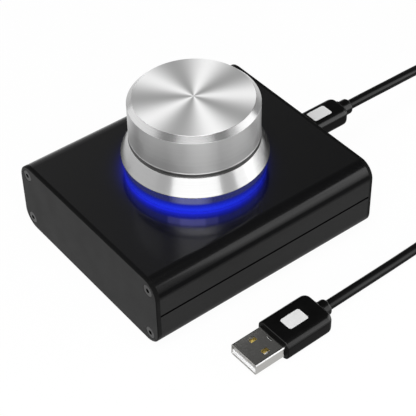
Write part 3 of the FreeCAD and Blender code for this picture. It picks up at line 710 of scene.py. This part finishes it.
def glowing_ring(name):
    """Clear ring lit blue from inside: bright at its foot and dimmer higher up. Its glow is painted darker
    away from one side as painted shade, and a painted highlight sits on its upper part on that side.
    """
    made, tree = new_material(name)
    place = coordinates(tree)
    height = maths(tree, "SUBTRACT", place["Z"], deck)
    nearness = axis_nearness(tree, place, ring_bright_side)
    grain = noise(tree, ring_grain)
    fade_start = ring_bright_height - ring_bright_fade
    fade_end = ring_bright_height + ring_bright_fade
    upper = rising(tree, height, fade_start, fade_end)
    (foot, foot_glow), (middle, middle_glow), (top, top_glow) = ring_glow
    # glow by height and grain, with a painted shade that darkens it away from the bright side
    glow = product(
        tree,
        remap(tree, height, foot, middle, foot_glow, middle_glow),
        remap(tree, height, middle, top, 1.0, top_glow / middle_glow),
        between(tree, grain, *ring_grain_levels),
        between(tree, nearness, ring_far_share, 1.0),
    )
    red, green = (product(tree, glow, share) for share in ring_hue)
    blue_light = node(tree, "CombineColor", {"Red": red, "Green": green, "Blue": glow}).outputs[0]
    # painted highlight spot on the upper part, on the bright side
    dim_light = toned(tree, rising(tree, nearness, *ring_highlight_spot), ring_upper_glows)
    on_side = rising(tree, axis_distance(tree, place), *(ring_radius - depth for depth in ring_skin))
    surface(tree, {
        "Base Color": toned(tree, upper, ring_bodies),
        "Roughness": between(tree, grain, *ring_roughness),
        "Specular IOR Level": ring_specular,
        "Emission Color": mixed(tree, on_side, shade(0.0), mixed(tree, upper, blue_light, dim_light)),
        "Emission Strength": 1.0,
    })
    return made


def glowing_led(name):
    """LED with a shining face."""
    made, tree = new_material(name)
    grain = noise(tree, led_grain)
    surface(tree, {
        "Base Color": toned(tree, grain, led_bodies),
        "Roughness": between(tree, grain, *led_roughness),
        "Emission Color": toned(tree, grain, led_glows),
        "Emission Strength": led_strength,
    })
    return made


def printed_board(name, colour):
    """Circuit board: solder mask with tracks that show through it."""
    made, tree = new_material(name)
    tracks = node(tree, "TexBrick", {
        "Vector": own_place(tree), "Scale": board_tracks, "Mortar Size": board_gap,
        "Color1": shade(colour), "Color2": shade(colour, board_other_shade),
        "Mortar": shade(colour, board_gap_shade),
    })
    surface(tree, {
        "Base Color": tracks.outputs["Color"],
        "Roughness": between(tree, noise(tree, board_mottle), *board_roughness),
        "Normal": bumped(tree, tracks.outputs["Fac"], board_relief),
    })
    return made


# ---------------------------------------------------------------- finishes, by the record's slots
finishes = {
    "black_anodised": anodised("anodised_shell"),
    "black_steel": metal("black_steel_finish", 0.030, 0.34, evenly),
    "foot_rubber": moulded("foot_rubber_finish", 0.012, 0.75, grain=0.3 * MM, relief=0.02 * MM),
    "board_green": printed_board("green_board_finish", (0.012, 0.085, 0.03)),
    "board_white": printed_board("white_board_finish", (0.55, 0.55, 0.53)),
    "chip_black": moulded("chip_black_finish", 0.02, 0.55, grain=0.08 * MM, relief=0.01 * MM),
    "component_grey": moulded("component_grey_finish", (0.42, 0.40, 0.36), 0.35),
    "white_plastic": moulded("white_plastic_finish", 0.80, 0.40, variation=0.03),
    "wire_red": moulded("wire_red_finish", (0.45, 0.012, 0.01), 0.45),
    "steel": metal("steel_finish", 0.50, 0.30, along_x),
    "plug_steel": plug_steel("plug_steel_finish"),
    "brass": metal("brass_finish", (0.62, 0.44, 0.17), 0.28, along_z),
    "gold_contacts": metal("gold_finish", (1.0, 0.75, 0.20), 0.45, along_x, metallic=0.25),
    "led_blue": glowing_led("led_finish"),
    "light_ring_blue": glowing_ring("light_ring_finish"),
    "polished_aluminium": turned("polished_finish", 0.45, 0.21, 0.25),
    "turned_aluminium": turned("turned_side_finish", 0.45, 0.36, 0.88),
    "grip_black": edge_polished("grip_finish", 0.0035, 0.20, 0.75, grip_edge_band),
    "label_white": moulded("label_finish", 0.68, 0.45, grain=0.15 * MM, relief=0.002 * MM, variation=0.02),
    "cable_black": edge_polished("cable_finish", 0.0045, 0.22, 0.45, cable_edge_band),
    "tie_black": moulded("tie_finish", 0.018, 0.5, grain=0.12 * MM, relief=0.01 * MM),
}
# the knob's face, with its highlights painted into its colour
face_finish = face_painted_highlights("face_painted_highlights_finish")
bevel_finish = turned("turned_bevel_finish", 0.45, 0.22, 0.3)
# the skirt's lower rim, painted paler than the rest of the skirt as a painted highlight
rim_highlight_finish = turned("rim_painted_highlight_finish", 0.80, 0.22, 0.3)
land_finish = turned("turned_land_finish", 0.42, 0.42, 0.9)
plate_finish = anodised_plate("anodised_end_plate")


def finish_nodes():
    """Give every CAD node the finish of its own slot, and the two end plates theirs."""
    for name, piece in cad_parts.items():
        is_plate = name in ("left_end_plate", "right_end_plate")
        for slot in piece.material_slots:
            slot.material = plate_finish if is_plate else finishes[slot.material.name]


# ---------------------------------------------------------------- camera and cable
def make_camera():
    """Camera at the photographed angle."""
    data = bpy.data.cameras.new("view_camera")
    data.lens = camera_lens
    data.sensor_width = camera_sensor
    camera = add_object("view_camera", data)
    aim = (camera_target - camera_place).to_track_quat("-Z", "Y")
    camera.rotation_mode = "QUATERNION"
    camera.rotation_quaternion = aim @ Quaternion((0.0, 0.0, 1.0), math.radians(camera_roll))
    camera.location = camera_place
    bpy.context.scene.camera = camera


def coil_slot(turn):
    """(radius, height) of a numbered turn: layers from the foot up, wound inwards, then outwards."""
    layer, place = divmod(turn, coil_columns)
    column = coil_columns - 1 - place if layer % 2 == 0 else place
    return coil_inner_turn + column * cable_diameter, coil_bottom_turn + layer * cable_diameter


def coil_points():
    """Control points of the coil, clockwise seen from above: from +Y at its foot to -Y on top."""
    points = []
    outside = 1 / math.cos(math.pi / coil_points_per_turn)
    start, end = coil_crossing
    for step in range(round(coil_turns * coil_points_per_turn) + 1):
        turn, part = divmod(step, coil_points_per_turn)
        share = part / coil_points_per_turn
        moved = min(1.0, max(0.0, (share - start) / (end - start)))
        radius, height = coil_slot(turn)
        next_radius, next_height = coil_slot(turn + 1)
        if next_height != height:
            side = 1 if radius == coil_outer_turn else -1
            radius += side * coil_bulge * math.sin(math.pi * moved)
        radius += (next_radius - coil_slot(turn)[0]) * moved
        height += (next_height - height) * moved
        angle = math.radians(90) - 2 * math.pi * (turn + share)
        points.append(Vector((coil_centre.x + radius * outside * math.cos(angle),
                              coil_centre.y + radius * outside * math.sin(angle), height)))
    return points


def make_cable():
    """The whole lead as one spline, from the box plug through the put-away coil to the loose plug."""
    points = box_side_route + coil_points() + usb_side_route
    curve = bpy.data.curves.new("usb_cable", "CURVE")
    curve.dimensions = "3D"
    curve.bevel_depth = cable_radius
    curve.bevel_resolution = cable_round_steps
    curve.resolution_u = cable_span_steps
    curve.use_fill_caps = True
    spline = curve.splines.new("NURBS")
    spline.points.add(len(points) - 1)
    for control, point in zip(spline.points, points):
        control.co = (*point, 1.0)
    spline.order_u = 3
    spline.use_endpoint_u = True
    curve.materials.append(finishes["cable_black"])
    cable = add_object("usb_cable", curve)
    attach(cable, "housing")
    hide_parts("cable_box_side", "cable_coil", "cable_usb_side")
    return cable


# ---------------------------------------------------------------- knob
def make_cap():
    """Turned cap: face, bevel and side, hollow below with a boss for the hub."""
    top, foot = cap_high.z, cap_low.z
    ceiling = top - cap_top_thickness
    side = cap_radius - cap_foot_lip
    bore = side - cap_side_thickness
    boss = insert_radius + cap_boss_wall
    boss_foot = ceiling - cap_boss_length
    bm = bmesh.new()
    add_turned(bm, [
        (0.0, ceiling, 0), (0.0, top, 0), (side - cap_chamfer, top, edge_round),
        (side, top - cap_chamfer, edge_round), (side, foot + cap_foot_height, cap_lip_round),
        (cap_radius, foot + cap_foot_height / 2, cap_lip_round), (cap_radius, foot, cap_foot_round),
        (bore, foot, edge_round), (bore, ceiling, edge_round), (boss, ceiling, edge_round),
        (boss, boss_foot, edge_round), (insert_radius, boss_foot, 0), (insert_radius, ceiling, 0),
    ])
    cap = finished_mesh("turned_knob_cap", bm, [finishes["turned_aluminium"], face_finish, bevel_finish])
    face_slot, bevel_slot = 1, 2
    for polygon in cap.data.polygons:
        if polygon.center.z > top - flat_top_depth:
            polygon.material_index = face_slot
        elif polygon.normal.z > bevel_upwards and polygon.center.z > top - cap_chamfer:
            polygon.material_index = bevel_slot
    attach(cap, "knob")
    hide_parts("knob_cap")


def make_skirt():
    """Cone ring with its web and three posts down to the deck."""
    top_radius = cap_radius + skirt_top_step
    land_inner = top_radius - skirt_land
    web_hole = insert_radius + skirt_web_gap
    base = ring_high.z
    web_top = base + skirt_web_thickness
    bm = bmesh.new()
    add_turned(bm, [
        (web_hole, base, 0), (skirt_radius, base, skirt_edge_round),
        (skirt_radius, base + skirt_edge_height, skirt_edge_round), (top_radius, skirt_high.z, edge_round),
        (land_inner, skirt_high.z, edge_round), (land_inner, web_top, edge_round), (web_hole, web_top, 0),
    ])
    for number in range(skirt_post_count):
        angle = math.radians(90) + 2 * math.pi * number / skirt_post_count
        centre = (skirt_post_circle * math.cos(angle), skirt_post_circle * math.sin(angle))
        add_turned(bm, [
            (skirt_post_bore, deck, 0), (skirt_post_radius, deck, 0),
            (skirt_post_radius, base, 0), (skirt_post_bore, base, 0),
        ], centre, segments=skirt_post_segments)
    skirt = finished_mesh("polished_skirt", bm, [finishes["polished_aluminium"], land_finish, rim_highlight_finish])
    land_slot, rim_slot = 1, 2
    for polygon in skirt.data.polygons:
        outside = polygon.center.xy.length > skirt_radius - skirt_edge_height
        if polygon.center.z > skirt_high.z - flat_top_depth:
            polygon.material_index = land_slot
        elif outside and base < polygon.center.z < base + skirt_edge_height:
            # the lower rim takes the painted highlight
            polygon.material_index = rim_slot
    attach(skirt, "housing")
    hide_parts("knob_skirt")


def make_dome():
    """Snap dome under the shaft at rest; nothing here flattens it as the knob is pressed."""
    rim_radius = dome_high.x
    rise = dome_high.z - dome_low.z
    sphere = (rim_radius ** 2 + rise ** 2) / (2 * rise)
    reach = math.asin(rim_radius / sphere)
    centre = dome_high.z - sphere
    outline = []
    for step in range(dome_steps + 1):
        angle = reach * step / dome_steps
        outline.append((sphere * math.sin(angle), centre + sphere * math.cos(angle), 0))
    inner = sphere - dome_sheet
    for step in range(dome_steps, -1, -1):
        angle = reach * step / dome_steps
        height = max(dome_low.z, centre + inner * math.cos(angle))
        outline.append((inner * math.sin(angle), height, 0))
    bm = bmesh.new()
    add_turned(bm, outline, segments=dome_segments)
    dome = finished_mesh("snap_dome", bm, [finishes["steel"]])
    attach(dome, "housing")
    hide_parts("switch_dome")
    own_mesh(dome)


# ---------------------------------------------------------------- plugs
def quarter_turn(steps):
    """Sine and cosine of the angles of a quarter turn, in even steps."""
    for step in range(steps + 1):
        angle = math.pi / 2 * step / steps
        yield math.sin(angle), math.cos(angle)


def make_grip(name, length, width, thickness, neck_length):
    """Moulded grip along X on its own axis, from a flat front to a round neck for the cable."""
    bm = bmesh.new()
    rings = []
    for sine, cosine in quarter_turn(grip_steps):
        inset = grip_front_round * (1 - sine)
        place = grip_front_round * (1 - cosine)
        rings.append(section(bm, place, width - 2 * inset, thickness - 2 * inset, grip_side_round - inset))
    for sine, cosine in quarter_turn(grip_steps):
        place = length - grip_side_round * (1 - sine)
        side_inset = grip_side_round * (1 - cosine)
        into_rear = max(0.0, place - (length - grip_rear_round))
        flat_inset = grip_rear_round - math.sqrt(grip_rear_round ** 2 - into_rear ** 2)
        corner = grip_side_round - flat_inset
        rings.append(section(bm, place, width - 2 * side_inset, thickness - 2 * flat_inset, corner))
    for sine, cosine in quarter_turn(grip_steps):
        radius = grip_neck_radius + grip_neck_fillet * (1 - sine)
        place = length + grip_neck_fillet * (1 - cosine)
        rings.append(section(bm, place, 2 * radius, 2 * radius, radius))
    for sine, cosine in quarter_turn(grip_steps):
        radius = grip_neck_radius - grip_neck_round * (1 - cosine)
        place = length + neck_length - grip_neck_round * (1 - sine)
        rings.append(section(bm, place, 2 * radius, 2 * radius, radius))
    lofted(bm, rings)
    return finished_mesh(name, bm, [finishes["grip_black"]])


def make_box_grip():
    """Grip of the plug in the box's socket."""
    length = box_grip_high.x - box_grip_low.x - box_neck_length
    width = box_grip_high.y - box_grip_low.y
    thickness = box_grip_high.z - box_grip_low.z
    grip = make_grip("box_plug_body", length, width, thickness, box_neck_length)
    grip.location = (box_grip_front, 0.0, socket_height)
    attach(grip, "housing")
    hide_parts("box_plug_grip")
    return grip


def make_usb_grip():
    """Grip of the loose plug."""
    grip = make_grip("usb_plug_body", usb_grip_length, usb_grip_width, usb_grip_high.z, usb_neck_length)
    grip.location = usb_plug_place + Vector((0.0, 0.0, usb_axis_height))
    grip.rotation_euler.z = math.radians(usb_plug_turn)
    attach(grip, "housing")
    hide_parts("usb_plug_grip")
    return grip


def make_usb_tab():
    """Small pressed tab on top of the loose plug's shell, ahead of its grip."""
    bm = bmesh.new()
    rings = []
    for step in range(usb_tab_steps + 1):
        share = step / usb_tab_steps
        height = usb_tab_height * math.sin(math.pi * share) + usb_tab_edge
        place = usb_tab_length * (share - 0.5)
        corner = height * usb_tab_corner
        rings.append(section(bm, place, usb_tab_width, 2 * height, corner, usb_tab_corner_steps))
    lofted(bm, rings)
    tab = finished_mesh("usb_shell_tab", bm, [finishes["plug_steel"]])
    tab.location = on_usb_plug(-usb_tab_ahead, usb_shell_high.z)
    tab.rotation_euler.z = math.radians(usb_plug_turn)
    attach(tab, "housing")
    return tab


# ---------------------------------------------------------------- studio
def make_floor():
    """Large white floor, which a camera, a reflection or glass sees as almost plain white."""
    half = floor_size / 2
    corners = [(-half, -half, 0), (half, -half, 0), (half, half, 0), (-half, half, 0)]
    mesh = bpy.data.meshes.new("floor")
    mesh.from_pydata(corners, [], [(0, 1, 2, 3)])
    floor = add_object("floor", mesh)
    made, tree = new_material("floor_paper")
    rays = node(tree, "LightPath", {})
    shown = maths(tree, "MAXIMUM", rays.outputs["Is Camera Ray"], rays.outputs["Is Glossy Ray"])
    shown = maths(tree, "MAXIMUM", shown, rays.outputs["Is Transmission Ray"])
    share = product(tree, shown, floor_shown_white)
    paper = node(tree, "BsdfDiffuse", {"Color": shade(floor_white)}).outputs[0]
    white = node(tree, "Emission", {"Color": shade(1.0), "Strength": 1.0}).outputs[0]
    blend = node(tree, "MixShader", {0: share, 1: paper, 2: white}).outputs[0]
    node(tree, "OutputMaterial", {"Surface": blend})
    mesh.materials.append(made)


# upwards share of a direction, and the grey level that it has
front_walls = ((0.0, 0.82), (0.5, 0.60), (0.70, 0.38), (0.81, 0.12), (0.883, 0.05))
back_walls = ((0.0, 0.60), (0.35, 0.35), (0.669, 0.13), (0.8, 0.05))
wall_turn = (0.30, 0.55)        # +X shares between which the front walls turn to the back ones


def ramp(tree, value, levels):
    """Grey level along a value, straight between the named places."""
    made = node(tree, "ValToRGB", {0: value})
    elements = made.color_ramp.elements
    elements.remove(elements[1])
    for number, (place, level) in enumerate(levels):
        element = elements[0] if number == 0 else elements.new(place)
        element.position = place
        element.color = shade(level)
    return made.outputs[0]


def make_surroundings():
    """Plain studio walls: pale at the horizon and dim overhead, dimmer towards +X."""
    world = bpy.data.worlds.new("studio_walls")
    bpy.context.scene.world = world
    world.use_nodes = True
    tree = world.node_tree
    tree.nodes.clear()
    direction = coordinates(tree, "Generated")
    share = rising(tree, direction["X"], *wall_turn)
    front = ramp(tree, direction["Z"], front_walls)
    back = ramp(tree, direction["Z"], back_walls)
    walls = mixed(tree, share, front, back)
    background = node(tree, "Background", {"Color": walls, "Strength": 1.0})
    node(tree, "OutputWorld", {"Surface": background.outputs[0]})


def lamp(name, place, towards, width, height, radiance, colour=(1.0, 1.0, 1.0)):
    """Flat lamp of an even brightness, which the camera doesn't see."""
    data = bpy.data.lights.new(name, "AREA")
    data.shape = "RECTANGLE"
    data.size = width
    data.size_y = height
    data.energy = math.pi * radiance * width * height
    data.color = colour
    made = add_object(name, data)
    made.rotation_mode = "QUATERNION"
    made.rotation_quaternion = (towards - place).to_track_quat("-Z", "Y")
    made.location = place
    made.visible_camera = False


def softbox(name, azimuths, elevations, distance, radiance):
    """Upright softbox that spans two azimuths and two elevations in degrees, cut off at the floor."""
    first, last = azimuths
    middle = math.radians((first + last) / 2)
    half_angle = math.radians((last - first) / 2)
    width = 2 * distance * math.tan(half_angle)
    rises = (distance * math.tan(math.radians(angle)) for angle in elevations)
    low, high = (max(0.0, studio_middle + rise) for rise in rises)
    place = Vector((distance * math.cos(middle), distance * math.sin(middle), (low + high) / 2))
    lamp(name, place, Vector((0.0, 0.0, place.z)), width, high - low, radiance)


ring_lamp_count = 36
ring_lamp_gap = 0.015 * MM      # outside the light ring
ring_blue = (0.015, 0.030, 1.0)
ring_lilac = (0.30, 0.30, 1.0)
ring_haze = (0.04, 0.05, 0.35)
ring_lamp_spot = (0.92, 1.0)    # cosines from the bright side over which they take the spot's colour
ring_lamp_spot_power = 1.5
ring_lamp_rows = (              # bottom and top above the deck, radiance, colour by the spot, other colour
    (0.0, 1.1 * MM, 11.5, ring_blue, ring_blue),
    (1.1 * MM, 2.2 * MM, 7.2, ring_blue, ring_blue),
    (2.2 * MM, 3.3 * MM, 4.0, ring_blue, ring_blue),
    (3.3 * MM, 6.3 * MM, 4.5, ring_lilac, ring_haze),
)


def make_ring_lamps():
    """Light that the ring throws outwards, in rows from its bright foot up."""
    radius = ring_radius + ring_lamp_gap
    width = 2 * radius * math.tan(math.pi / ring_lamp_count)
    spot_start, spot_end = ring_lamp_spot
    for row, (bottom, top, radiance, spot_colour, other_colour) in enumerate(ring_lamp_rows):
        for number in range(ring_lamp_count):
            angle = 2 * math.pi * (number + 0.5) / ring_lamp_count
            nearness = math.cos(angle - ring_bright_side)
            level = radiance * (ring_far_share + (1 - ring_far_share) * max(0.0, nearness))
            share = max(0.0, (nearness - spot_start) / (spot_end - spot_start)) ** ring_lamp_spot_power
            colour = Vector(other_colour).lerp(Vector(spot_colour), share)
            outward = Vector((math.cos(angle), math.sin(angle), 0.0))
            place = outward * radius + Vector((0.0, 0.0, deck + (bottom + top) / 2))
            name = "ring_light_%d_%d" % (row, number)
            lamp(name, place, place + outward, width, top - bottom, level, colour)


softboxes = (                   # azimuths and elevations in degrees, distance, radiance
    ("front_softbox", (200, 267), (-10, 50), 0.32, 1.5),
    ("right_softbox", (290, 309), (-10, 39), 0.32, 1.35),
    ("right_bright_softbox", (309, 345), (-10, 39), 0.32, 2.0),
    ("left_softbox", (105, 176), (8, 42), 0.34, 0.9),
)
top_softbox_place = Vector((-0.084, -0.112, 0.583))
top_softbox_size = 0.34
top_softbox_radiance = 5.2


def make_lamps():
    """The upright softboxes, one overhead that faces the origin, and the light ring's own light."""
    for box in softboxes:
        softbox(*box)
    size = top_softbox_size
    lamp("top_softbox", top_softbox_place, Vector((0.0, 0.0, 0.0)), size, size, top_softbox_radiance)
    make_ring_lamps()


# ---------------------------------------------------------------- the scene
def main():
    """Make every piece, then the studio."""
    bpy.context.scene.view_settings.view_transform = "Standard"
    make_camera()
    cable = make_cable()
    finish_nodes()
    make_cap()
    make_skirt()
    make_dome()
    box_grip = make_box_grip()
    usb_grip = make_usb_grip()
    usb_tab = make_usb_tab()
    make_floor()
    make_surroundings()
    make_lamps()


main()
